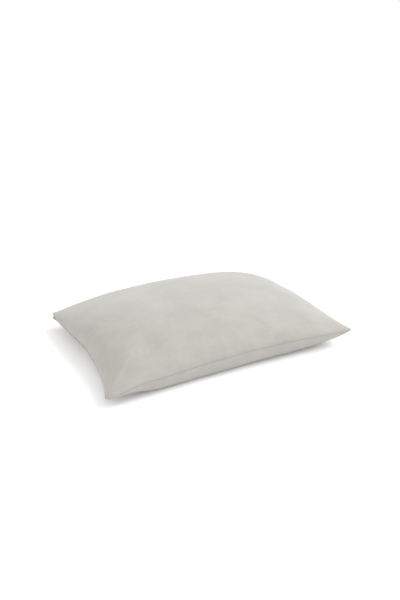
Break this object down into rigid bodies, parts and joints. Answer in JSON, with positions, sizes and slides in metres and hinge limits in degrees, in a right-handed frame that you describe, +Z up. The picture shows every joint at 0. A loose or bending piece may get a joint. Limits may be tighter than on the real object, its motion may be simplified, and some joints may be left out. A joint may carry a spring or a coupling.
{
  "type": "bed pillow",
  "caption": "Bed pillow: a soft fibre-filled insert with piped edges inside a plain light-grey envelope pillowcase with a tuck-in flap.",
  "frame": {"origin": "on the ground, under the middle of the pillow", "axes": "+X along the long side, from the open end of the case to its closed end; +Y from the front long side to the back one; +Z up from the face it rests on to the crown"},
  "size_m": [0.7, 0.5, 0.1417],
  "materials": {
    "case_cloth": "matte",
    "case_thread": "satin",
    "ticking_cloth": "matte",
    "ticking_thread": "satin",
    "piping_cord": "matte",
    "fibre_filling": "matte",
    "label_tape": "satin"
  },
  "bodies": {
    "pillowcase": {"case_top_panel": "case_cloth", "case_bottom_panel": "case_cloth", "case_inner_flap": "case_cloth", "case_mouth_hem": "case_cloth", "case_flap_hem": "case_cloth", "case_flap_seam": "case_cloth", "case_front_seam": "case_cloth", "case_back_seam": "case_cloth", "case_end_seam": "case_cloth", "case_mouth_stitching": "case_thread", "case_flap_stitching": "case_thread", "case_flap_seam_stitching": "case_thread", "case_front_seam_stitching": "case_thread", "case_back_seam_stitching": "case_thread", "case_end_seam_stitching": "case_thread", "case_care_label": "label_tape"},
    "insert": {"ticking_top_panel": "ticking_cloth", "ticking_bottom_panel": "ticking_cloth", "ticking_piping": "piping_cord", "ticking_closing_stitches": "ticking_thread", "ticking_care_label": "label_tape", "fibre_fill": "fibre_filling"}
  },
  "joints": [
    {"name": "insert_slide", "type": "slide", "parent": "pillowcase", "child": "insert", "axis": [-1, 0, 0], "range_m": [0, 0.72], "deforming": ["case_top_panel", "case_bottom_panel", "case_inner_flap", "case_mouth_hem", "case_flap_hem", "case_flap_seam", "case_front_seam", "case_back_seam", "case_end_seam", "case_mouth_stitching", "case_flap_stitching", "case_flap_seam_stitching", "case_front_seam_stitching", "case_back_seam_stitching", "case_end_seam_stitching", "case_care_label"]}
  ]
}
